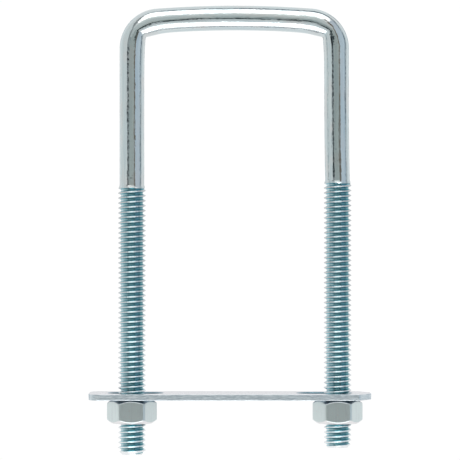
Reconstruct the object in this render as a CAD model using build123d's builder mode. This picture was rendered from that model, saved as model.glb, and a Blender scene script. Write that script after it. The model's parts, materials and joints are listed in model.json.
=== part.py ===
"""A square-bend U-bolt for 2 inch square tube: 5/16-18 thread, 5 inch legs, slotted clamp plate and two hex nuts.

Frame: +Z runs up the legs, X runs across them and Y runs front to back. The origin lies midway between the
legs' axes, on the face of the clamp plate that bears on the tube. All lengths are in millimetres.
"""

import os
from math import asin, cos, degrees, floor, pi, radians, sin, sqrt, tan

from build123d import *

inch = 25.4

# Rod: drawn wire, bent so that its legs are not quite equal
rod_radius = 7.0 / 2
leg_spacing = 58.2
overall_height = 127.0
left_leg_end = -17.3
right_leg_end = -15.3

# Crown and bends: the crown arches a little, and the bending leaves each corner thinner and wider than the wire
crown_arch_radius = 295.0
bend_outer_radius = 11.3
bend_thinning = 0.55
bend_widening = 0.12
bend_section_count = 7

# 5/16-18 rolled thread
thread_pitch = inch / 18
thread_half_angle = 30.0
thread_length = 75.8
thread_major_radius = 7.88 / 2
thread_pitch_radius = 6.95 / 2
thread_root_radius = 6.20 / 2
thread_top_land = 1.0
leg_tip_radius = 5.7 / 2
leg_tip_chamfer = 1.2

# How far above each leg's end its first groove crosses the +X side
left_thread_rise = 0.47
right_thread_rise = 1.37

# Nut thread, with its radial clearance over the rod's
thread_clearance = 0.14
nut_bore_radius = 6.62 / 2
nut_major_radius = 8.20 / 2
nut_countersink_radius = 8.5 / 2
cutter_overrun = 0.1

# Hex nuts
nut_across_flats = 12.5
nut_height = 6.85
nut_corner_radius = 1.0
nut_face_radius = 11.2 / 2
nut_chamfer_angle = 37.0
nut_blank_radius = 8.0
nut_plate_gap = 0.08

# Slotted plate, pushed along until the right leg is near the outer end of its slot
plate_length = 79.7
plate_depth = 19.0
plate_thickness = 1.6
plate_shift = -1.35
plate_end_radius = 15.0
slot_length = 15.85
slot_width = 8.9
slot_spacing = 53.45

# Worked out from the above
leg_x = leg_spacing / 2
crown_top = left_leg_end + overall_height
crown_axis_radius = crown_arch_radius - rod_radius
arch_centre_z = crown_top - crown_arch_radius
bend_axis_radius = bend_outer_radius - rod_radius
bend_centre_x = leg_x - bend_axis_radius
bend_tilt = degrees(asin(bend_centre_x / (crown_arch_radius - bend_outer_radius)))
bend_centre_z = arch_centre_z + (crown_arch_radius - bend_outer_radius) * cos(radians(bend_tilt))
bend_angle = 90 - bend_tilt
nut_top = -plate_thickness - nut_plate_gap
nut_bottom = nut_top - nut_height
left_thread_start = left_leg_end + left_thread_rise
right_thread_start = right_leg_end + right_thread_rise
left_thread_turn = -360 * left_thread_rise / thread_pitch
right_thread_turn = -360 * right_thread_rise / thread_pitch


def cutter_turn(inner_radius, outer_radius, inner_width, outer_width):
    """One turn of a right-hand thread groove about Z, whose middle starts at z = 0 on the +X side."""
    with BuildPart() as turn:
        with BuildLine() as path:
            Helix(pitch=thread_pitch, height=thread_pitch, radius=outer_radius)
        with BuildSketch(Plane.XZ):
            with BuildLine():
                Polyline(
                    (inner_radius, -inner_width / 2),
                    (outer_radius, -outer_width / 2),
                    (outer_radius, outer_width / 2),
                    (inner_radius, inner_width / 2),
                    close=True,
                )
            make_face()
        sweep(path=path.line, is_frenet=True)
    return turn.part


def rod_groove_width(radius):
    """How wide the space between the rod's threads is, along Z, at this radius."""
    return thread_pitch / 2 + 2 * (radius - thread_pitch_radius) * tan(radians(thread_half_angle))


def nut_groove_width(radius):
    """How wide the space between the nut's threads is, along Z, at this radius."""
    return thread_pitch - rod_groove_width(radius - thread_clearance)


def turn_heights(first, last):
    """The starts of whole turns, one pitch apart, from first up to the last that ends below last."""
    return [first + thread_pitch * i for i in range(floor((last - first) / thread_pitch))]


def bend_plane(angle, from_centre):
    """The plane across the right-hand bend at this angle above level, centred this far from the bend's centre."""
    out_x = cos(radians(angle))
    out_z = sin(radians(angle))
    middle = (bend_centre_x + from_centre * out_x, 0, bend_centre_z + from_centre * out_z)
    return Plane(origin=middle, x_dir=(0, 1, 0), z_dir=(-out_z, 0, out_x))


def hex_nut(x, thread_start):
    """A double-chamfered nut on the leg at x, in step with a rod groove that crosses the +X side at thread_start."""
    axis = Axis((x, 0, 0), (0, 0, 1))
    side_view = Plane(origin=(x, 0, 0), x_dir=(1, 0, 0), z_dir=(0, -1, 0))
    chamfer_height = (nut_blank_radius - nut_face_radius) * tan(radians(nut_chamfer_angle))
    countersink_depth = nut_countersink_radius - nut_bore_radius
    first_crest = thread_start + thread_pitch / 2
    turns_down = floor((nut_bottom - thread_pitch - first_crest) / thread_pitch)
    groove_start = first_crest + turns_down * thread_pitch
    cutter_inner = nut_bore_radius - cutter_overrun
    groove = cutter_turn(
        cutter_inner,
        nut_major_radius,
        nut_groove_width(cutter_inner),
        nut_groove_width(nut_major_radius),
    )
    with BuildPart() as nut:
        with BuildSketch(Plane(origin=(x, 0, nut_bottom))):
            RegularPolygon(nut_across_flats / 2, 6, major_radius=False)
        extrude(amount=nut_height)
        fillet(nut.edges().filter_by(Axis.Z), nut_corner_radius)
        with BuildSketch(side_view):
            with BuildLine():
                Polyline(
                    (0, nut_bottom),
                    (nut_face_radius, nut_bottom),
                    (nut_blank_radius, nut_bottom + chamfer_height),
                    (nut_blank_radius, nut_top - chamfer_height),
                    (nut_face_radius, nut_top),
                    (0, nut_top),
                    close=True,
                )
            make_face()
        revolve(axis=axis, mode=Mode.INTERSECT)
        with BuildSketch(side_view):
            with BuildLine():
                Polyline(
                    (0, nut_bottom),
                    (nut_countersink_radius, nut_bottom),
                    (nut_bore_radius, nut_bottom + countersink_depth),
                    (nut_bore_radius, nut_top - countersink_depth),
                    (nut_countersink_radius, nut_top),
                    (0, nut_top),
                    close=True,
                )
            make_face()
        revolve(axis=axis, mode=Mode.SUBTRACT)
        with Locations(*[(x, 0, z) for z in turn_heights(groove_start, nut_top + 2 * thread_pitch)]):
            add(groove, mode=Mode.SUBTRACT)
    return nut.part


# One threaded end, standing on z = 0. Both ends of the straight wire are rolled to the same length.
rod_groove = cutter_turn(
    thread_root_radius,
    thread_major_radius + cutter_overrun,
    rod_groove_width(thread_root_radius),
    rod_groove_width(thread_major_radius + cutter_overrun),
)
with BuildPart() as threaded_end:
    with BuildSketch(Plane.XZ):
        with BuildLine():
            Polyline(
                (0, 0),
                (leg_tip_radius, 0),
                (thread_major_radius, leg_tip_chamfer),
                (thread_major_radius, thread_length - thread_major_radius + rod_radius),
                (rod_radius, thread_length),
                (0, thread_length),
                close=True,
            )
        make_face()
    revolve(axis=Axis.Z)
    with Locations(*[(0, 0, z) for z in turn_heights(-thread_pitch, thread_length - thread_top_land)]):
        add(rod_groove, mode=Mode.SUBTRACT)

# The right-hand bend, from the top of its shank round to the end of the crown.
with BuildPart() as right_bend:
    for step in range(bend_section_count):
        share = step / (bend_section_count - 1)
        change = sin(pi * share) ** 2
        in_plane_radius = rod_radius - bend_thinning * change
        section = bend_plane(bend_angle * share, bend_outer_radius - in_plane_radius)
        with BuildSketch(section):
            Ellipse(rod_radius + bend_widening * change, in_plane_radius)
    loft()

# The bent rod, one piece: two plain shanks, two bends, the crown between them and the two threaded ends.
with BuildPart() as u_bolt_rod:
    for x, leg_end in ((-leg_x, left_leg_end), (leg_x, right_leg_end)):
        shank_bottom = leg_end + thread_length
        with BuildSketch(Plane(origin=(x, 0, shank_bottom), x_dir=(0, 1, 0), z_dir=(0, 0, 1))):
            Circle(rod_radius)
        extrude(amount=bend_centre_z - shank_bottom)

    add(right_bend.part)
    add(right_bend.part.mirror(Plane.YZ))

    with BuildLine(Plane.XZ) as crown_path:
        CenterArc((0, arch_centre_z), crown_axis_radius, 90 - bend_tilt, 2 * bend_tilt)
    with BuildSketch(bend_plane(bend_angle, bend_axis_radius)):
        Circle(rod_radius)
    sweep(path=crown_path.line)

    with Locations(
        Location((-leg_x, 0, left_leg_end), (0, 0, left_thread_turn)),
        Location((leg_x, 0, right_leg_end), (0, 0, right_thread_turn)),
    ):
        add(threaded_end.part)
u_bolt_rod.part.label = "u_bolt_rod"

# The plate: a flat strip with curved ends and a slot for each leg.
end_rise = plate_end_radius - sqrt(plate_end_radius**2 - (plate_depth / 2) ** 2)
straight_half = plate_length / 2 - end_rise
with BuildPart() as clamp_plate:
    with BuildSketch(Plane(origin=(plate_shift, 0, -plate_thickness))):
        with BuildLine():
            front = Line((-straight_half, -plate_depth / 2), (straight_half, -plate_depth / 2))
            back = Line((straight_half, plate_depth / 2), (-straight_half, plate_depth / 2))
            ThreePointArc(front @ 1, (plate_length / 2, 0), back @ 0)
            ThreePointArc(back @ 1, (-plate_length / 2, 0), front @ 0)
        make_face()
        with Locations((-slot_spacing / 2, 0), (slot_spacing / 2, 0)):
            SlotOverall(slot_length, slot_width, mode=Mode.SUBTRACT)
    extrude(amount=plate_thickness)
clamp_plate.part.label = "clamp_plate"

# The two nuts that hold the plate up, one on each leg.
left_nut = hex_nut(-leg_x, left_thread_start)
left_nut.label = "left_nut"
right_nut = hex_nut(leg_x, right_thread_start)
right_nut.label = "right_nut"

os.makedirs("parts", exist_ok=True)
export_step(u_bolt_rod.part, "parts/u_bolt_rod.step")
export_step(clamp_plate.part, "parts/clamp_plate.step")
export_step(left_nut, "parts/left_nut.step")
export_step(right_nut, "parts/right_nut.step")
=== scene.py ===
"""The looks of a square-bend U-bolt: a bright zinc-plated rod, a slotted clamp plate and two hex nuts.

All lengths are in metres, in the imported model's frame: +Z runs up the legs and X runs across them. The origin
lies midway between the legs' axes, on the face of the plate that bears on the tube. A value that differs from
leg to leg is kept by side, which is -1 on the left and 1 on the right.
"""

import json
from math import asin, atan, ceil, cos, pi, radians, sin, sqrt, tan

import bmesh
import bpy
import numpy as np
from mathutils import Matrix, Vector, noise


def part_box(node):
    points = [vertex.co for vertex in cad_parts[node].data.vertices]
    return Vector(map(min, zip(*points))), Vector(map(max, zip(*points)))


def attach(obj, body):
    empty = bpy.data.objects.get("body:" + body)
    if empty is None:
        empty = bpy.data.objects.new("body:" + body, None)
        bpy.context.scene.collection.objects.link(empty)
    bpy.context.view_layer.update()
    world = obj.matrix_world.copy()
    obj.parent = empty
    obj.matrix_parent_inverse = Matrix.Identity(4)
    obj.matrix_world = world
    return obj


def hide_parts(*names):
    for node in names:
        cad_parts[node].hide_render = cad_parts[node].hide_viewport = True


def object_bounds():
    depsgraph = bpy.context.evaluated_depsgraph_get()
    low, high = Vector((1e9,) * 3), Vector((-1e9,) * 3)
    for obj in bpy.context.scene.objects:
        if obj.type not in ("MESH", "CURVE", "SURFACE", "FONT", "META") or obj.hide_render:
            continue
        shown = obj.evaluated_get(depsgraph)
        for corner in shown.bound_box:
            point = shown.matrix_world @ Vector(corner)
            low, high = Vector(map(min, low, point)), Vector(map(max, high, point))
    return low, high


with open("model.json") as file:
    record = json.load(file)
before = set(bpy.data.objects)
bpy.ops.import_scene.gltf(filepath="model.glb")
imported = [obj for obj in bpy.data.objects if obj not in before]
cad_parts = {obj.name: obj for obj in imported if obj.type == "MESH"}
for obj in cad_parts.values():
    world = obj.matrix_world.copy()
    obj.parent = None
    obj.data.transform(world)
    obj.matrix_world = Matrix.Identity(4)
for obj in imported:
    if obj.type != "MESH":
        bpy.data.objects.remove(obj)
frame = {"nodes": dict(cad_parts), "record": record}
cad_low, cad_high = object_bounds()

mm = 0.001
weld_distance = 0.002 * mm

# What the frame gives
mounts = {mount["name"]: mount for mount in frame["record"]["mounts"]}
stud_dims = mounts["leg_studs"]["dims"]
leg_x = stud_dims["spacing_x_mm"] / 2 * mm
thread_major_radius = stud_dims["stud_r_mm"] * mm
crown_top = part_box("u_bolt_rod")[1].z
plate_low, plate_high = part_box("clamp_plate")
nut_low, nut_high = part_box("left_nut")

# Wire, crown and bends
wire_radius = 3.5 * mm
crown_arch_radius = 295.0 * mm
bend_outer_radius = 11.3 * mm
bend_widening = 0.12 * mm
ring_points = 50
crown_steps = 28
bend_steps = 44
shank_steps = 26

# How far the top of each shank leans in from its leg's axis
shank_leans = {-1: 0.0, 1: 0.28 * mm}

# A bend's inner side: two flattened runs, which swell out of the crown and the shank and meet in a corner
crown_slump = radians(9.2)
crown_bulge = 0.3 * mm
crown_bulge_run = 1.85 * mm
shank_slump = radians(3.8)
shank_bulge = 0.2 * mm
shank_bulge_run = 3 * mm
bend_inner_softness = {-1: 0.35 * mm, 1: 0.6 * mm}

# The drawn wire's surface strays from true in broad and in fine waves, which the thread rolls partly iron out
broad_wave_length = 7 * mm
broad_wave_height = 0.016 * mm
fine_wave_length = 2.2 * mm
fine_wave_height = 0.003 * mm
ironed_share = 0.6

# Thread
thread_pitch = 25.4 / 18 * mm
thread_half_angle = radians(30)
thread_lengths = {-1: 76.2 * mm, 1: 75.6 * mm}
thread_pitch_radius = 6.95 / 2 * mm
thread_root_radius = 6.20 / 2 * mm
thread_crest_rounding = 0.26 * mm
thread_root_rounding = 0.05 * mm
leg_tip_radius = 5.7 / 2 * mm
leg_tip_chamfer = 1.2 * mm
leg_tip_rounding = 0.08 * mm

# How far above each leg's end its first groove crosses the +X side
thread_rises = {-1: 0.54 * mm, 1: 1.43 * mm}

# How far from a groove's middle a thread's grid has its rows, closer together where the profile turns
thread_row_offsets = np.array([0.108, 0.165, 0.19, 0.475, 0.505, 0.56, 0.63]) * mm

# The thread's upper end: the wire flares into a low ring, and the groove starts where the ring falls away
flare_slope = 0.35
flare_rounding = 0.08 * mm
ring_height = 0.17 * mm
ring_slope = 0.05
ring_end = 0.95 * mm
ring_end_height = 0.14 * mm
ring_end_slope = 2.6
ring_rounding = 0.05 * mm

# The thread's tint: how far below the thread's top it starts, the run over which it comes in, and where painted
# shade on one side of each leg makes it deepest, as an angle from +X round to the front
tint_start = 0.7 * mm
tint_run = 0.5 * mm
shaded_side_bearing = radians(50)

# Nuts
thread_clearance = 0.14 * mm
nut_bore_radius = 6.62 / 2 * mm
nut_major_radius = 8.20 / 2 * mm
nut_countersink_radius = 8.5 / 2 * mm
nut_corner_radius = 1.0 * mm
nut_face_radius = 11.2 / 2 * mm
nut_chamfer_slope = tan(radians(37))
nut_thread_rounding = 0.06 * mm
nut_edge = 0.09 * mm
nut_flat_crown = 0.012 * mm

# Plate
plate_end_radius = 15.0 * mm
plate_top_lift = 0.1 * mm
plate_left_corner = 5.2 * mm
plate_right_half_tip = 3.2 * mm
plate_right_clip = 0.15 * mm
plate_right_half_clip = 0.25 * mm
slot_length = 15.85 * mm
slot_width = 8.9 * mm
slot_spacing = 53.45 * mm

# The torn part of a sheared wall is rough, in fine grain and in larger lumps: how long each is along the
# wall, how deep down it, and how far it stands out
grain_length = 1.1 * mm
grain_depth_mm = 0.16
grain_height = 0.045 * mm
lump_length = 4 * mm
lump_depth_mm = 0.8
lump_height = 0.03 * mm

# Camera, level with the bolt's middle
camera_distance = 0.85
camera_lens_mm = 235.0
sensor_width_mm = 36.0

# Worked out from the above
ring_angles = np.arange(ring_points) * 2 * pi / ring_points
arch_centre_z = crown_top - crown_arch_radius
nut_across_flats = nut_high.y - nut_low.y
nut_apothem = nut_across_flats / 2
nut_corner_reach = (nut_apothem - nut_corner_radius) / cos(pi / 6)
nut_flat_half_angle = atan((nut_apothem - nut_corner_radius) * tan(pi / 6) / nut_apothem)
plate_centre_x = (plate_low.x + plate_high.x) / 2
plate_depth = plate_high.y - plate_low.y
plate_thickness = plate_high.z - plate_low.z


# ---------------------------------------------------------------- shapes


def smooth_min(a, b, reach):
    """The smaller of a and b, rounded over this reach where they cross."""
    share = np.clip(0.5 + 0.5 * (b - a) / reach, 0, 1)
    return b + (a - b) * share - reach * share * (1 - share)


def smooth_max(a, b, reach):
    """The larger of a and b, rounded over this reach where they cross."""
    return -smooth_min(-a, -b, reach)


def smooth_step(share):
    """From 0 to 1, level at both ends."""
    share = np.clip(share, 0, 1)
    return share * share * (3 - 2 * share)


class Skin:
    """The points and faces of several grids, to be welded into one closed mesh."""

    def __init__(self):
        self.points = []
        self.faces = []
        self.values = {}
        self.size = 0

    def add(self, points, faces, **values):
        """Takes a grid's points, its faces, and a value for each point under each name."""
        points = np.reshape(points, (-1, 3))
        self.points.append(points)
        self.faces += [tuple(self.size + i for i in face) for face in faces]
        for name, value in values.items():
            self.values.setdefault(name, []).append(value)
        self.size += len(points)

    def weld(self, name):
        """One object, its faces turned outwards and its shared edges joined."""
        mesh = bpy.data.meshes.new(name)
        mesh.from_pydata(np.concatenate(self.points).tolist(), [], self.faces)
        for key, parts in self.values.items():
            joined = np.concatenate([np.ravel(part) for part in parts]).astype(np.float32)
            kind, slot = ("FLOAT", "value") if len(joined) == self.size else ("FLOAT_VECTOR", "vector")
            mesh.attributes.new(key, kind, "POINT").data.foreach_set(slot, joined)
        work = bmesh.new()
        work.from_mesh(mesh)
        bmesh.ops.remove_doubles(work, verts=work.verts, dist=weld_distance)
        bmesh.ops.dissolve_degenerate(work, edges=work.edges, dist=weld_distance)
        bmesh.ops.recalc_face_normals(work, faces=work.faces)
        work.to_mesh(mesh)
        work.free()
        piece = bpy.data.objects.new(name, mesh)
        bpy.context.scene.collection.objects.link(piece)
        return piece


def ring_faces(rings, count):
    """Quads that join each closed ring of this many points to the next ring."""
    return [
        (r * count + c, r * count + (c + 1) % count, (r + 1) * count + (c + 1) % count, (r + 1) * count + c)
        for r in range(rings - 1)
        for c in range(count)
    ]


def helix_faces(rows, count, rows_per_turn):
    """Quads of a grid whose rows climb one pitch a turn, so its last column meets its first a turn higher."""
    faces = []
    for r in range(rows - 1 - rows_per_turn):
        for c in range(count):
            next_row = r + rows_per_turn if c == count - 1 else r
            next_column = (c + 1) % count
            faces.append(
                (
                    r * count + c,
                    next_row * count + next_column,
                    (next_row + 1) * count + next_column,
                    (r + 1) * count + c,
                )
            )
    return faces


def helix_grid(angles, low, high, start):
    """Rows between two levels that follow a thread whose groove crosses the +X side at start.

    Returns their heights, their offsets along Z from the nearest groove's middle, and the rows in a turn.
    """
    half_profile = thread_row_offsets / thread_pitch
    steps = np.concatenate([half_profile, [0.5], 1 - half_profile[::-1]])
    spare_turns = 2
    first_turn = ceil((low - start) / thread_pitch) - spare_turns
    turns = ceil((high - low) / thread_pitch) + 2 * spare_turns
    starts = np.concatenate([first_turn + turn + steps for turn in range(turns)])
    heights = start + thread_pitch * (starts[:, None] + angles[None, :] / (2 * pi))
    heights = np.clip(heights, low, high)
    phase = (heights - start) / thread_pitch - angles[None, :] / (2 * pi)
    offset = (phase - np.round(phase)) * thread_pitch
    return heights, offset, len(steps)


def leg_points(side, angles, radius, heights):
    """Points at these angles, radii and heights round one leg's axis."""
    x = side * leg_x + radius * np.cos(angles)
    return np.stack([x, radius * np.sin(angles), heights + 0 * angles], axis=-1)


def flank_radius(offset):
    """How far the thread's flank, carried on without end, is from the axis at this offset along it.

    The offset is from the middle of the nearest groove.
    """
    return thread_pitch_radius + (np.abs(offset) - thread_pitch / 4) / tan(thread_half_angle)


def leg_end(side):
    """The lowest level of the rod on this side, -1 for the left leg and 1 for the right."""
    return min(v.co.z for v in frame["nodes"]["u_bolt_rod"].data.vertices if v.co.x * side > 0)


def wire_noise(angle, along, length, reach, seed):
    """Noise from -1 to 1 on the wire, in waves of this length. A larger reach gives more of them round it."""
    return noise.noise(Vector((reach * cos(angle), reach * sin(angle), seed + along / length)))


def wire_wobble(angle, along):
    """How far the drawn wire's surface strays from true, at this angle round it and distance along it."""
    broad = wire_noise(angle, along, broad_wave_length, reach=0.9, seed=0)
    fine = wire_noise(angle, along, fine_wave_length, reach=3, seed=40)
    return broad_wave_height * broad + fine_wave_height * fine


def wire_places(angle, along):
    """Coordinates that run with the wire, in millimetres, for the streaks that drawing left on it."""
    around = wire_radius / mm
    return np.stack([around * np.cos(angle), around * np.sin(angle), along / mm + 0 * angle], axis=-1)


# ---------------------------------------------------------------- rod


def inner_reach(angle, bend_angle, softness):
    """How far the bend's inner side is from the bend's centre, at this angle above level."""
    inner = bend_outer_radius - 2 * wire_radius
    shank_side = (inner - shank_bulge) * cos(shank_slump) / cos(angle - shank_slump)
    crown_side = (inner - crown_bulge) * cos(crown_slump) / cos(angle - bend_angle + crown_slump)
    return float(smooth_min(shank_side, crown_side, softness))


def half_wire(side, thread_top):
    """Cross-sections from the crown's middle to the top of one leg's thread.

    Each is its centre's x and z, its outward direction in x and z, its in-plane and cross radii and its
    distance along the wire from the crown's middle, negative on the left.
    """
    sections = []
    bend_reach = crown_arch_radius - bend_outer_radius
    bend_x = leg_x - shank_leans[side] - bend_outer_radius + wire_radius
    bend_tilt = asin(bend_x / bend_reach)
    bend_z = arch_centre_z + bend_reach * cos(bend_tilt)
    bend_angle = pi / 2 - bend_tilt

    crown_length = bend_tilt * (crown_arch_radius - wire_radius)
    for step in range(crown_steps + 1):
        share = step / crown_steps
        bulge = crown_bulge * np.exp((share - 1) * crown_length / crown_bulge_run)
        reach = crown_arch_radius - wire_radius - bulge / 2
        outward = (sin(bend_tilt * share), cos(bend_tilt * share))
        centre = (reach * outward[0], arch_centre_z + reach * outward[1])
        sections.append((*centre, outward, wire_radius + bulge / 2, 0))

    for step in range(1, bend_steps + 1):
        share = step / bend_steps
        angle = bend_angle * (1 - share)
        inner_side = inner_reach(angle, bend_angle, bend_inner_softness[side])
        reach = (bend_outer_radius + inner_side) / 2
        outward = (cos(angle), sin(angle))
        centre = (bend_x + reach * outward[0], bend_z + reach * outward[1])
        widening = bend_widening * sin(pi * share) ** 2
        sections.append((*centre, outward, (bend_outer_radius - inner_side) / 2, widening))

    # The bulge fades to nothing at the thread, and the lean is bent back onto the leg's axis just above it
    shank_length = bend_z - thread_top
    bulge_left = np.exp(-shank_length / shank_bulge_run)
    for step in range(1, shank_steps + 1):
        share = step / shank_steps
        down = shank_length * share
        bulge = shank_bulge * (np.exp(-down / shank_bulge_run) - bulge_left * share)
        lean = shank_leans[side] * (1 - share**4)
        centre = (leg_x - lean - bulge / 2, bend_z - down)
        sections.append((*centre, (1, 0), wire_radius + bulge / 2, 0))

    along = 0
    placed = []
    last = sections[0]
    for x, z, outward, in_plane, widening in sections:
        along += sqrt((x - last[0]) ** 2 + (z - last[1]) ** 2)
        outward = (side * outward[0], outward[1])
        placed.append((side * x, z, outward, in_plane, wire_radius + widening, side * along))
        last = (x, z)
    return placed


def add_plain_wire(skin, sections):
    """The smooth part of the rod through these cross-sections."""
    points = []
    places = []
    for x, z, outward, in_plane, cross, along in sections:
        stray = np.array([wire_wobble(angle, along) for angle in ring_angles])
        across = (in_plane + stray) * np.cos(ring_angles)
        y = (cross + stray) * np.sin(ring_angles)
        points.append(np.stack([x + across * outward[0], y, z + across * outward[1]], 1))
        places.append(wire_places(ring_angles, along))
    faces = ring_faces(len(sections), ring_points)
    blank = np.zeros(len(sections) * ring_points)
    skin.add(points, faces, wire=places, thread=blank, crest=blank, steeped=blank)


def rolled_radius(offset, below_top):
    """The thread's radius, at this offset from the groove's middle and distance below the thread's top."""
    crest = smooth_min(flank_radius(offset), thread_major_radius, thread_crest_rounding)
    profile = smooth_max(crest, thread_root_radius, thread_root_rounding)
    ring_top = wire_radius + ring_height - below_top * ring_slope
    ring_side = wire_radius + ring_end_height - (below_top - ring_end) * ring_end_slope
    ring = np.minimum(ring_top, ring_side)
    flare = wire_radius + below_top * flare_slope
    return smooth_min(smooth_max(profile, ring, ring_rounding), flare, flare_rounding)


def add_threaded_leg(skin, side, tip, along_top):
    """One leg's rolled thread, from its chamfered tip to the plain wire.

    It carries four values to the material: wire, its place on the wire; thread, 1 where it is rolled; crest,
    from 0 at the root to 1 on the crests and the chamfer; and steeped, 1 where painted shade makes the tint
    deepest.
    """
    top = tip + thread_lengths[side]
    heights, offset, rows_per_turn = helix_grid(ring_angles, tip, top, tip + thread_rises[side])
    below_top = top - heights
    rolled = smooth_step((below_top - tint_start) / tint_run)
    wire_angles = np.broadcast_to(ring_angles if side > 0 else pi - ring_angles, heights.shape)
    along = along_top + side * below_top
    stray = np.array([wire_wobble(a, s) for a, s in zip(wire_angles.ravel(), along.ravel())])
    stray = stray.reshape(heights.shape) * (1 - ironed_share * rolled)
    meets_wire = heights >= top
    radius = np.where(meets_wire, wire_radius, rolled_radius(offset, below_top)) + stray
    cone = leg_tip_radius + (heights - tip) * (thread_major_radius - leg_tip_radius) / leg_tip_chamfer
    radius = smooth_min(radius, cone, leg_tip_rounding)
    crest = (radius - thread_root_radius) / (thread_major_radius - thread_root_radius)
    chamfer_margin = 0.1 * mm
    on_chamfer = radius > cone - chamfer_margin
    # Painted shade: the tint is painted darker on one side of each leg, darkest at this bearing
    steeped = 0.5 + 0.5 * np.cos(ring_angles + shaded_side_bearing)
    skin.add(
        leg_points(side, ring_angles, radius, heights),
        helix_faces(len(heights), ring_points, rows_per_turn),
        wire=wire_places(wire_angles, along),
        thread=rolled,
        crest=np.maximum(crest, on_chamfer),
        steeped=np.broadcast_to(steeped, heights.shape),
    )
    add_leg_tip(skin, side, tip, radius[0], along_top + side * thread_lengths[side])


def add_leg_tip(skin, side, tip, rim, along):
    """The sheared end face of a leg, a little hollow, inside its rim."""
    rings = []
    for share, hollow_mm in ((1, 0), (0.94, 0.004), (0.7, 0.05), (0.4, 0.07), (0.1, 0.06)):
        rings.append(leg_points(side, ring_angles, rim * share, tip + hollow_mm * mm))
    faces = ring_faces(len(rings), ring_points)
    faces.append(tuple(range((len(rings) - 1) * ring_points, len(rings) * ring_points)))
    blank = np.zeros(len(rings) * ring_points)
    places = [wire_places(ring_angles, along)] * len(rings)
    skin.add(rings, faces, wire=places, thread=blank, crest=blank, steeped=blank)


def make_rod():
    """The bent and threaded rod as one closed mesh."""
    skin = Skin()
    tips = {side: leg_end(side) for side in (-1, 1)}
    left = half_wire(-1, tips[-1] + thread_lengths[-1])
    right = half_wire(1, tips[1] + thread_lengths[1])
    add_plain_wire(skin, left[::-1] + right[1:])
    add_threaded_leg(skin, -1, tips[-1], left[-1][-1])
    add_threaded_leg(skin, 1, tips[1], right[-1][-1])
    return skin.weld("rod")


# ---------------------------------------------------------------- nuts


def nut_columns():
    """Angles round a nut, closer together at its six corners, the first of which is on the X axis."""
    corner_half_angle = pi / 6 - nut_flat_half_angle
    flat = [nut_flat_half_angle * share for share in (0.15, 0.45, 0.75, 0.95)]
    corner = [nut_flat_half_angle + corner_half_angle * share for share in (0, 0.35, 0.7)]
    half = flat + corner
    sector = [-angle for angle in reversed(half)] + half + [pi / 6]
    return np.array([pi / 6 + turn * pi / 3 + angle for turn in range(6) for angle in sector])


def nut_side_radius(angles):
    """How far a nut's sides are from its axis at these angles: six flats, and round corners between them."""
    from_flat = np.abs((angles % (pi / 3)) - pi / 6)
    from_corner = pi / 6 - from_flat
    arc_height = nut_corner_radius**2 - (nut_corner_reach * np.sin(from_corner)) ** 2
    arc = nut_corner_reach * np.cos(from_corner) + np.sqrt(np.maximum(arc_height, 0))
    return np.where(from_flat < nut_flat_half_angle, nut_apothem / np.cos(from_flat), arc)


def nut_rings(side_radius, bottom, top):
    """The radius and level of every ring of points over a nut's outside, from its upper bore to its lower.

    They come in three lists: the upper end's, the middle's and the lower end's. The sides bulge a little.
    """
    level = 0 * side_radius
    face_rounding = 0.1 * mm
    drop = (side_radius - nut_face_radius) * nut_chamfer_slope
    rows = [
        (nut_countersink_radius + level, level),
        (nut_countersink_radius + 0.25 * mm + level, level),
        (nut_face_radius - 0.4 * mm + level, level),
        (nut_face_radius - face_rounding + level, 0.005 * mm + level),
        (nut_face_radius + face_rounding + level, face_rounding * nut_chamfer_slope + level),
        (side_radius - 2 * nut_edge, drop - 2 * nut_edge * nut_chamfer_slope),
        (side_radius - nut_edge, drop - nut_edge * nut_chamfer_slope + 0.01 * mm),
        (side_radius - 0.2 * nut_edge, drop + 0.4 * nut_edge),
        (side_radius, drop + 1.4 * nut_edge),
        (side_radius, drop + 4 * nut_edge),
    ]
    upper = [(radius, top - down) for radius, down in rows]
    lower = [(radius, bottom + down) for radius, down in reversed(rows)]
    height = top - bottom
    middle = []
    for share in (0.3, 0.5, 0.7):
        middle.append((side_radius + nut_flat_crown, top - drop + (2 * drop - height) * share))
    return upper, middle, lower


def make_nut(name, node, side):
    """A double-chamfered hex nut on one leg, with its thread in step with the leg's.

    It carries two values to the material: thread, 1 in its bore, and tarnish, 1 on its upper end, which is
    painted in shade, and -1 on its lower end, which is painted with a highlight.
    """
    low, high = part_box(node)
    bottom, top = low.z, high.z
    angles = nut_columns()
    count = len(angles)
    upper, middle, lower = nut_rings(nut_side_radius(angles), bottom, top)
    rings = upper + middle + lower
    grid = [leg_points(side, angles, radius, level) for radius, level in rings]
    # Where the ends are painted: shade on the upper end, under the plate, and a highlight on the lower end
    tarnish = np.zeros((len(rings), count))
    side_rows = 3
    tarnish[: len(upper) - side_rows] = 1
    tarnish[side_rows - len(lower) :] = -1
    skin = Skin()
    skin.add(grid, ring_faces(len(rings), count), thread=np.zeros(tarnish.size), tarnish=tarnish)

    heights, offset, rows_per_turn = helix_grid(angles, bottom, top, leg_end(side) + thread_rises[side])
    cut = smooth_min(flank_radius(offset) + thread_clearance, nut_major_radius, nut_thread_rounding)
    cut = smooth_max(cut, nut_bore_radius, nut_thread_rounding)
    countersink = nut_countersink_radius - np.minimum(heights - bottom, top - heights)
    bore = leg_points(side, angles, np.maximum(cut, countersink), heights)
    faces = helix_faces(len(heights), count, rows_per_turn)
    skin.add(bore, faces, thread=np.ones(heights.size), tarnish=np.zeros(heights.size))
    return skin.weld(name)


# ---------------------------------------------------------------- plate


def arc_points(centre, radius, start, end, count):
    """Points along an arc in the XY plane, from one angle to another in degrees."""
    turns = np.radians(np.linspace(start, end, count))
    return np.stack([centre[0] + radius * np.cos(turns), centre[1] + radius * np.sin(turns)], 1)


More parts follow.
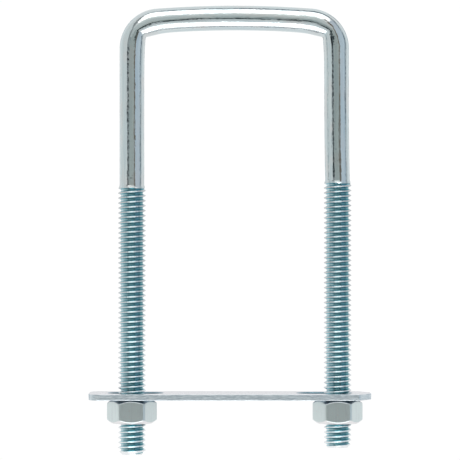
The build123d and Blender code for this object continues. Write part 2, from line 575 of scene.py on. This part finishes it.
def evenly(points, spacing):
    """The same closed outline with its long runs divided."""
    divided = []
    for here, there in zip(points, np.roll(points, -1, axis=0)):
        steps = max(1, ceil(np.linalg.norm(there - here) / spacing))
        divided += [here + (there - here) * step / steps for step in range(steps)]
    return np.array(divided)


def outward_directions(points):
    """The direction at each point of a counter-clockwise outline that leads out of it."""
    along = np.roll(points, -1, axis=0) - np.roll(points, 1, axis=0)
    outward = np.stack([along[:, 1], -along[:, 0]], 1)
    return outward / np.linalg.norm(outward, axis=1)[:, None]


def plate_outline():
    """The plate seen from above: straight sides, a rounded left end and a right end sheared in three cuts."""
    half_depth = plate_depth / 2
    end_rise = plate_end_radius - sqrt(plate_end_radius**2 - half_depth**2)
    left = plate_low.x
    right = plate_high.x
    back_left = []
    for share in np.linspace(0, 1, 12):
        x = left + end_rise * (1 - share) ** 2
        back_left.append((x, half_depth - plate_left_corner * share**2))
    back_left = np.array(back_left)
    front_left = np.stack([back_left[:, 0], -back_left[:, 1]], 1)[::-1]
    clip_outside = plate_right_half_tip + plate_right_half_clip
    clip_inside = plate_right_half_tip - plate_right_half_clip
    right_end = [
        (right - end_rise, -half_depth),
        (right - plate_right_clip, -clip_outside),
        (right, -clip_inside),
        (right, clip_inside),
        (right - plate_right_clip, clip_outside),
        (right - end_rise, half_depth),
    ]
    return evenly(np.concatenate([front_left, right_end, back_left]), spacing=0.5 * mm)


def slot_outline(centre_x):
    """One slot seen from above."""
    radius = slot_width / 2
    half_run = slot_length / 2 - radius
    right = arc_points((centre_x + half_run, 0), radius, -90, 90, 21)
    left = arc_points((centre_x - half_run, 0), radius, 90, 270, 21)
    return evenly(np.concatenate([right, left]), spacing=0.6 * mm)


def add_sheared_wall(work, outline, inward, seed):
    """The wall under an outline: rolled over at the top, smooth where it was cut and rough where it tore.

    inward is 1 round the plate and -1 round a slot. Returns the top and the bottom edges, for the faces that
    join them. A step down the wall is how far in and how far down it is, in millimetres, and how torn it is.
    """
    rim_inset = 0.1
    steps = (
        (0.2, 0.0, 0),
        (0.07, 0.008, 0),
        (0.015, 0.04, 0),
        (0.0, 0.12, 0.1),
        (0.0, 0.32, 0.3),
        (0.0, 0.5, 0.5),
        (0.01, 0.68, 1),
        (0.03, 0.86, 1),
        (0.04, 1.04, 1),
        (0.045, 1.22, 1),
        (0.05, 1.38, 0.8),
        (0.07, 1.5, 0.3),
        (0.13, 1.58, 0),
        (0.3, 1.6, 0),
    )
    full_depth = steps[-1][1]
    slot_wall = work.verts.layers.float["slot"]
    outward = outward_directions(outline) * inward
    run = np.cumsum(np.linalg.norm(outline - np.roll(outline, 1, axis=0), axis=1))
    rings = []
    for inset, depth, torn in steps:
        ring = []
        for point, out, distance in zip(outline, outward, run):
            grain = noise.noise(Vector((distance / grain_length, depth / grain_depth_mm, seed)))
            lump = noise.noise(Vector((distance / lump_length, depth / lump_depth_mm, seed + 9)))
            move = torn * (grain_height * grain + lump_height * lump) - inset * mm
            level = plate_low.z + (1 - depth / full_depth) * (plate_thickness + plate_top_lift)
            vertex = work.verts.new((*(point + out * move), level))
            vertex[slot_wall] = float(inward < 0 and inset < rim_inset)
            ring.append(vertex)
        rings.append(ring)
    for upper, lower in zip(rings, rings[1:]):
        for i in range(len(outline)):
            j = (i + 1) % len(outline)
            work.faces.new((upper[i], upper[j], lower[j], lower[i]))
    loops = []
    for ring in (rings[0], rings[-1]):
        loops.append([work.edges.get((ring[i], ring[(i + 1) % len(ring)])) for i in range(len(ring))])
    return loops


def make_plate():
    """The slotted clamp plate, punched from strip. Its slot value is 1 on the walls of the slots, which are
    painted in shade.
    """
    work = bmesh.new()
    work.verts.layers.float.new("slot")
    walls = [add_sheared_wall(work, plate_outline(), inward=1, seed=3.7)]
    for side in (-1, 1):
        centre_x = plate_centre_x + side * slot_spacing / 2
        walls.append(add_sheared_wall(work, slot_outline(centre_x), inward=-1, seed=20.3 + side))
    for level in (0, 1):
        edges = [edge for wall in walls for edge in wall[level]]
        bmesh.ops.triangle_fill(work, edges=edges, use_beauty=True)
    bmesh.ops.recalc_face_normals(work, faces=work.faces)
    mesh = bpy.data.meshes.new("plate")
    work.to_mesh(mesh)
    work.free()
    piece = bpy.data.objects.new("plate", mesh)
    bpy.context.scene.collection.objects.link(piece)
    return piece


# ---------------------------------------------------------------- materials and light


class Nodes:
    """A short way to write a node tree."""

    def __init__(self, tree):
        self.tree = tree
        tree.nodes.clear()

    def put(self, socket, value):
        """Links a socket, or sets the input's own value."""
        if isinstance(value, bpy.types.NodeSocket):
            self.tree.links.new(value, socket)
        else:
            socket.default_value = value

    def add(self, kind, settings=None, **inputs):
        """A node with these settings and inputs, whose names have _ for a space."""
        node = self.tree.nodes.new("ShaderNode" + kind)
        for name, value in (settings or {}).items():
            setattr(node, name, value)
        for name, value in inputs.items():
            self.put(node.inputs[name.replace("_", " ")], value)
        return node

    def math(self, operation, *values):
        """One step of arithmetic on numbers."""
        node = self.add("Math", {"operation": operation})
        for socket, value in zip(node.inputs, values):
            self.put(socket, value)
        return node.outputs[0]

    def vector(self, operation, *values):
        """One step of arithmetic on vectors."""
        node = self.add("VectorMath", {"operation": operation})
        for socket, value in zip(node.inputs, values):
            self.put(socket, value)
        return node.outputs["Value" if operation == "DOT_PRODUCT" else "Vector"]

    def mix(self, factor, a, b):
        """The colour a, turned towards b by factor."""
        node = self.add("Mix", {"data_type": "RGBA"})
        for index, value in ((0, factor), (6, a), (7, b)):
            self.put(node.inputs[index], value)
        return node.outputs[2]

    def ramp(self, value, start, end, low=0.0, high=1.0):
        """From low to high, eased, as value goes from start to end."""
        settings = {"interpolation_type": "SMOOTHSTEP"}
        return self.add(
            "MapRange", settings, Value=value, From_Min=start, From_Max=end, To_Min=low, To_Max=high
        ).outputs[0]

    def band(self, value, start, end, soft):
        """1 between start and end and 0 outside, eased over soft each way at both."""
        rise = self.ramp(value, start - soft, start + soft)
        fall = self.ramp(value, end - soft, end + soft, 1.0, 0.0)
        return self.math("MULTIPLY", rise, fall)

    def noise(self, vector, scale, detail=2.0, roughness=0.5):
        """Noise from 0 to 1. Scale is one number, or one for each direction."""
        scales = scale if isinstance(scale, tuple) else (scale,) * 3
        stretched = self.vector("MULTIPLY", vector, scales)
        node = self.add("TexNoise", Vector=stretched, Scale=1.0, Detail=detail, Roughness=roughness)
        return node.outputs["Fac"]

    def attribute(self, name, output="Fac"):
        """A value that the mesh carries at each point."""
        return self.add("Attribute", {"attribute_name": name}).outputs[output]

    def bump(self, height, depth, normal=None):
        """Normals of a surface that rises by depth metres where height is 1."""
        inputs = {} if normal is None else {"Normal": normal}
        return self.add("Bump", Height=height, Distance=depth, Strength=1.0, **inputs).outputs[0]

    def metal(self, colour, roughness, normal):
        """The finished surface of a metal."""
        shader = self.add(
            "BsdfPrincipled", Base_Color=colour, Metallic=1.0, Roughness=roughness, Normal=normal
        )
        self.add("OutputMaterial", Surface=shader.outputs[0])


def new_material(name):
    """An empty material and its nodes."""
    material = bpy.data.materials.new(name)
    material.use_nodes = True
    return material, Nodes(material.node_tree)


def rod_material():
    """Bright zinc on drawn wire, a bluish passivation that gathers in the rolled thread, and painted light on
    the thread.
    """
    material, n = new_material("zinc_rod")
    wire = n.attribute("wire", "Vector")
    thread = n.attribute("thread")
    crest = n.attribute("crest")
    along = n.math("ABSOLUTE", n.add("SeparateXYZ", Vector=wire).outputs[2])
    streaks = n.noise(wire, (1.6, 1.6, 0.05), 3.0, 0.6)
    hairlines = n.noise(wire, (5.0, 5.0, 0.12), 2.0, 0.6)
    clouds = n.noise(wire, (0.35, 0.35, 0.12), 3.0, 0.55)
    chatter = n.noise(wire, (0.9, 0.9, 0.8), 2.0, 0.5)

    # The plain wire: dark and light streaks, clouded with grey
    dark_streak = (0.53, 0.61, 0.64, 1)
    light_streak = (0.68, 0.74, 0.74, 1)
    cloud_grey = (0.64, 0.66, 0.66, 1)
    plain = n.mix(n.ramp(streaks, 0.25, 0.75), dark_streak, light_streak)
    plain = n.mix(n.ramp(clouds, 0.45, 0.7), plain, cloud_grey)

    # The thread's flanks and roots: tinted, and painted in shade on one side of each leg and, on the flanks,
    # near the tips
    flank = (0.48, 0.72, 0.77, 1)
    shaded_side_flank = (0.22, 0.46, 0.53, 1)
    shaded_flank_near_tip = (0.17, 0.43, 0.49, 1)
    root = (0.72, 0.77, 0.80, 1)
    shaded_side_root = (0.18, 0.36, 0.39, 1)
    # The side of each leg that is painted in shade, broken up by clouds
    steeped = n.math("ADD", n.attribute("steeped"), n.math("MULTIPLY_ADD", clouds, 0.4, -0.2))
    steeped = n.ramp(steeped, 0.2, 0.95)
    # Painted shade: on the shaded side, the flanks are painted darker towards the tips
    flank_in_painted_shade = n.mix(n.ramp(along, 70, 140), shaded_side_flank, shaded_flank_near_tip)
    rolled = n.mix(n.ramp(crest, 0.12, 0.02), n.mix(steeped, flank, flank_in_painted_shade), n.mix(steeped, root, shaded_side_root))

    # Its crests, rubbed bare and duller, with a painted highlight that makes them brightest near the tips
    bare_crest = (0.61, 0.62, 0.63, 1)
    highlit_bare_crest_near_tip = (0.93, 0.94, 0.95, 1)
    worn = n.ramp(crest, 0.50, 0.75)
    # Painted highlight: the bare crests and tip chamfers are painted brighter towards the tips
    bare_and_highlit_crest = n.mix(n.ramp(along, 85, 150), bare_crest, highlit_bare_crest_near_tip)
    colour = n.mix(thread, plain, n.mix(worn, rolled, bare_and_highlit_crest))
    gloss = n.ramp(hairlines, 0.3, 0.7, 0.05, 0.11)
    roughness = n.math("ADD", gloss, n.math("MULTIPLY", worn, 0.2))

    plain_share = n.math("SUBTRACT", 1.0, thread)
    fine = n.bump(hairlines, 0.0012 * mm)
    lines = n.bump(n.math("MULTIPLY", streaks, plain_share), 0.035 * mm, fine)
    normal = n.bump(n.math("MULTIPLY", chatter, plain_share), 0.05 * mm, lines)
    n.metal(colour, roughness, normal)
    return material


def place_in_mm(n):
    """Coordinates in the frame, in millimetres, for noise that is fixed to a piece."""
    return n.vector("MULTIPLY", n.add("TexCoord").outputs["Object"], (1000, 1000, 1000))


def plate_material():
    """Zinc on rolled strip: rose mottled faces, rough grey sheared edges, and painted shade on the walls of the
    slots.
    """
    material, n = new_material("zinc_plate")
    place = place_in_mm(n)
    geometry = n.add("NewGeometry").outputs["Normal"]
    level = n.math("ABSOLUTE", n.vector("DOT_PRODUCT", geometry, (0, 0, 1)))
    face = n.ramp(level, 0.6, 0.95)
    wall = n.math("SUBTRACT", 1.0, face)
    clouds = n.noise(place, (0.12, 0.2, 0.2), 4.0, 0.6)
    grain = n.noise(place, (0.25, 2.6, 2.6), 3.0, 0.6)
    torn = n.noise(place, (0.7, 0.7, 5.0), 4.0, 0.65)
    spots = n.noise(place, (2.2, 2.2, 2.2), 2.0, 0.5)

    rose_cloud = (0.65, 0.63, 0.67, 1)
    light_cloud = (0.71, 0.70, 0.71, 1)
    grey_spot = (0.60, 0.62, 0.65, 1)
    faces = n.mix(clouds, rose_cloud, light_cloud)
    faces = n.mix(n.ramp(spots, 0.62, 0.75), faces, grey_spot)

    torn_grey = (0.48, 0.56, 0.61, 1)
    cut_bright = (0.88, 0.93, 0.95, 1)
    shaded_slot_blue = (0.24, 0.44, 0.54, 1)
    sheared = n.mix(n.ramp(torn, 0.25, 0.75), torn_grey, cut_bright)
    # Painted shade on the walls of the slots
    sheared = n.mix(n.attribute("slot"), sheared, shaded_slot_blue)

    colour = n.mix(face, sheared, faces)
    rough_face = n.ramp(grain, 0.3, 0.7, 0.20, 0.30)
    roughness = n.math("MULTIPLY_ADD", wall, 0.25, rough_face)
    rolled = n.bump(grain, 0.003 * mm)
    normal = n.bump(n.math("MULTIPLY", torn, wall), 0.05 * mm, rolled)
    n.metal(colour, roughness, normal)
    return material


def nut_material():
    """Satin zinc on a cold-formed nut, tinted in its thread, with painted shade above and a painted highlight
    below.
    """
    material, n = new_material("zinc_nut")
    place = place_in_mm(n)
    tarnish = n.attribute("tarnish")
    clouds = n.noise(place, (0.3, 0.3, 0.3), 4.0, 0.6)
    grain = n.noise(place, (3.0, 3.0, 3.0), 3.0, 0.6)
    spots = n.noise(place, (1.4, 1.4, 2.5), 2.0, 0.5)
    brushed = n.noise(place, (1.6, 1.6, 0.12), 3.0, 0.6)

    dark_cloud = (0.70, 0.77, 0.76, 1)
    light_cloud = (0.77, 0.84, 0.84, 1)
    brush_mark = (0.66, 0.71, 0.72, 1)
    grey_spot = (0.74, 0.74, 0.73, 1)
    highlit_lower_end = (0.92, 0.90, 0.90, 1)
    shaded_upper_end = (0.12, 0.20, 0.27, 1)
    tinted_bore = (0.55, 0.76, 0.80, 1)
    outside = n.mix(clouds, dark_cloud, light_cloud)
    outside = n.mix(n.ramp(brushed, 0.5, 0.8), outside, brush_mark)
    outside = n.mix(n.ramp(spots, 0.6, 0.75), outside, grey_spot)
    # Painted highlight on the lower end, which faces the light below
    outside = n.mix(n.ramp(tarnish, -0.5, -1.0), outside, highlit_lower_end)
    # Painted shade on the upper end, under the plate, lightened a little on some spots
    upper_end_shade = n.math("MULTIPLY", n.ramp(tarnish, 0.5, 1.0), n.ramp(spots, 0.3, 0.6, 1.0, 0.7))
    outside = n.mix(upper_end_shade, outside, shaded_upper_end)
    colour = n.mix(n.attribute("thread"), outside, tinted_bore)
    roughness = n.ramp(grain, 0.3, 0.7, 0.34, 0.42)
    normal = n.bump(clouds, 0.02 * mm, n.bump(grain, 0.003 * mm))
    n.metal(colour, roughness, normal)
    return material


def floor_material():
    """Matt white paper."""
    material, n = new_material("white_paper")
    mottle = n.noise(n.add("TexCoord").outputs["Object"], 3.0)
    paper = n.mix(mottle, (0.93, 0.93, 0.93, 1), (0.95, 0.95, 0.95, 1))
    shader = n.add("BsdfDiffuse", Color=paper)
    n.add("OutputMaterial", Surface=shader.outputs[0])
    return material


def studio_world():
    """A white light tent round the bolt, open and dark at the front, with lights above and below.

    Angles are in degrees. Bearing is 0 in front, at -Y, and 90 at +X, and height is above level. Over is the
    angle up from the front, past the zenith and on to the back.
    """
    world = bpy.data.worlds.new("studio")
    world.use_nodes = True
    n = Nodes(world.node_tree)
    direction = n.add("TexCoord").outputs["Generated"]
    x, y, z = n.add("SeparateXYZ", Vector=direction).outputs[:3]
    front = n.math("MULTIPLY", y, -1.0)
    bearing = n.math("DEGREES", n.math("ARCTAN2", x, front))
    height = n.math("DEGREES", n.math("ARCSINE", z))
    over = n.math("DEGREES", n.math("ARCTAN2", z, front))
    side_slope = n.math("DIVIDE", n.math("ABSOLUTE", x), n.math("MAXIMUM", n.math("ABSOLUTE", z), 0.001))

    def patch(bearings, heights, soft=(1, 1)):
        """1 inside these bearings and heights, and 0 outside."""
        return n.math("MULTIPLY", n.band(bearing, *bearings, soft[0]), n.band(height, *heights, soft[1]))

    def light(start, end, narrow, wide):
        """1 on a light between two values of over, whose sides fade between two slopes from the upright."""
        return n.math("MULTIPLY", n.band(over, start, end, 2), n.ramp(side_slope, narrow, wide, 1.0, 0.0))

    def hoop(normal, start, end, reach=0.042):
        """A narrow band round the great circle square to this direction, between two values of x."""
        soft = 0.02
        off = n.math("ABSOLUTE", n.vector("DOT_PRODUCT", direction, normal))
        return n.math("MULTIPLY", n.ramp(off, reach, reach + soft, 1.0, 0.0), n.band(x, start, end, soft))

    # The tent, brightest straight below, with greyer walls at the left, the right and the front right
    sky = n.mix(n.ramp(height, -80, -70, 1.0, 0.0), (0.93, 0.95, 0.96, 1), (1.1, 1.1, 1.1, 1))
    for bearings, heights, soft, colour in (
        ((-114, -34), (-40, 60), (4, 4), (0.80, 0.83, 0.83, 1)),
        ((86, 112), (-40, 60), (2, 4), (0.74, 0.78, 0.80, 1)),
        ((26, 88), (-35, 55), (2, 4), (0.60, 0.68, 0.76, 1)),
    ):
        sky = n.mix(patch(bearings, heights, soft), sky, colour)

    # The room beyond its open front, darkest about level and paler towards the ceiling and the floor
    room = n.mix(n.ramp(height, 6, 11), (0.43, 0.47, 0.46, 1), (0.64, 0.67, 0.66, 1))
    room = n.mix(n.ramp(height, 22, 44), room, (1.05, 1.05, 1.03, 1))
    room = n.mix(n.ramp(height, -14, -11, 1.0, 0.0), room, (0.64, 0.67, 0.68, 1))
    room = n.mix(n.ramp(height, -40, -17, 1.0, 0.0), room, (0.96, 0.97, 0.98, 1))
    sky = n.mix(patch((-34, 26), (-42, 50)), sky, room)

    # The softbox above and the light table below
    sky = n.mix(light(46, 81, 0.52, 0.66), sky, (2.8, 2.8, 2.8, 1))
    sky = n.mix(light(-74, -43, 0.50, 0.66), sky, (4.2, 4.2, 4.2, 1))

    # Two dark hoops of the tent, which draw a thin line over the crown and down the right side of each shank
    above_table = n.ramp(z, -0.22, -0.19)
    right_hoop = n.math("MULTIPLY", hoop((0.05, 0.991, -0.12), 0, 2, 0.075), above_table)
    left_hoop = n.math("MULTIPLY", hoop((-0.383, 0.917, -0.11), -0.43, 0), n.ramp(z, 0.5, 0.6))
    sky = n.mix(right_hoop, sky, (0.16, 0.20, 0.24, 1))
    sky = n.mix(left_hoop, sky, (0.14, 0.18, 0.22, 1))

    # The tent's dark upright seams, one at the front right and two at the back
    for bearings, heights, soft, colour in (
        ((21.5, 32), (-14, 45), (1, 2), (0.20, 0.17, 0.14, 1)),
        ((-155, -149), (-25, 40), (1, 3), (0.30, 0.33, 0.36, 1)),
        ((149, 155), (-25, 40), (1, 3), (0.30, 0.33, 0.36, 1)),
    ):
        sky = n.mix(patch(bearings, heights, soft), sky, colour)

    # The left edge of the opening, nearly black up to level and grey above it, which draws the line down each
    # shank's left, and a dark slit across the opening just below level
    in_front = n.math("MULTIPLY", n.ramp(front, 0.0, 0.08), above_table)
    left_jamb = n.math("MULTIPLY", hoop((-0.771, 0.560, -0.304), -0.78, -0.36, 0.12), in_front)
    jamb_shade = n.mix(n.ramp(z, 0.025, 0.075), (0.02, 0.03, 0.035, 1), (0.34, 0.36, 0.37, 1))
    sky = n.mix(left_jamb, sky, jamb_shade)
    sky = n.mix(patch((-25, 22), (-12.5, -3), (5, 1)), sky, (0.03, 0.045, 0.05, 1))

    # The camera sees plain white behind the bolt
    seen = n.add("LightPath").outputs["Is Camera Ray"]
    shown = n.mix(seen, sky, (1.02, 1.02, 1.02, 1))
    background = n.add("Background", Color=shown, Strength=1.0)
    n.add("OutputWorld", Surface=background.outputs[0])
    bpy.context.scene.world = world


def add_floor():
    """A wide pale floor well below the bolt, which hangs over it."""
    drop = 1.0
    reach = 12.0
    mesh = bpy.data.meshes.new("floor")
    work = bmesh.new()
    bmesh.ops.create_circle(work, cap_ends=True, segments=96, radius=reach)
    work.to_mesh(mesh)
    work.free()
    floor = bpy.data.objects.new("floor", mesh)
    floor.location.z = cad_low.z - drop
    floor.visible_glossy = False
    mesh.materials.append(floor_material())
    bpy.context.scene.collection.objects.link(floor)


def add_camera():
    """A long lens level with the bolt's middle, square to its front."""
    data = bpy.data.cameras.new("camera")
    data.sensor_width = sensor_width_mm
    data.lens = camera_lens_mm
    data.clip_start = 0.01
    data.clip_end = 100.0
    camera = bpy.data.objects.new("camera", data)
    middle = (cad_low + cad_high) / 2
    camera.location = (middle.x, middle.y - camera_distance, middle.z)
    camera.rotation_euler = (radians(90), 0, 0)
    bpy.context.scene.collection.objects.link(camera)
    bpy.context.scene.camera = camera


def finish_piece(piece, material, node, body):
    """Gives a piece its finish and crisp shading, and puts it in its CAD node's place."""
    piece.data.materials.append(material)
    piece.data.shade_smooth()
    weighted = piece.modifiers.new("crisp", "WEIGHTED_NORMAL")
    weighted.mode = "FACE_AREA_WITH_ANGLE"
    weighted.weight = 60
    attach(piece, body)
    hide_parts(node)


add_camera()
add_floor()
studio_world()

scene = bpy.context.scene
scene.view_settings.view_transform = "Standard"
scene.cycles.max_bounces = 16
scene.cycles.glossy_bounces = 12

finish_piece(make_rod(), rod_material(), "u_bolt_rod", "rod")
finish_piece(make_plate(), plate_material(), "clamp_plate", "plate")
nut_finish = nut_material()
finish_piece(make_nut("left_hex_nut", "left_nut", -1), nut_finish, "left_nut", "left_nut")
finish_piece(make_nut("right_hex_nut", "right_nut", 1), nut_finish, "right_nut", "right_nut")
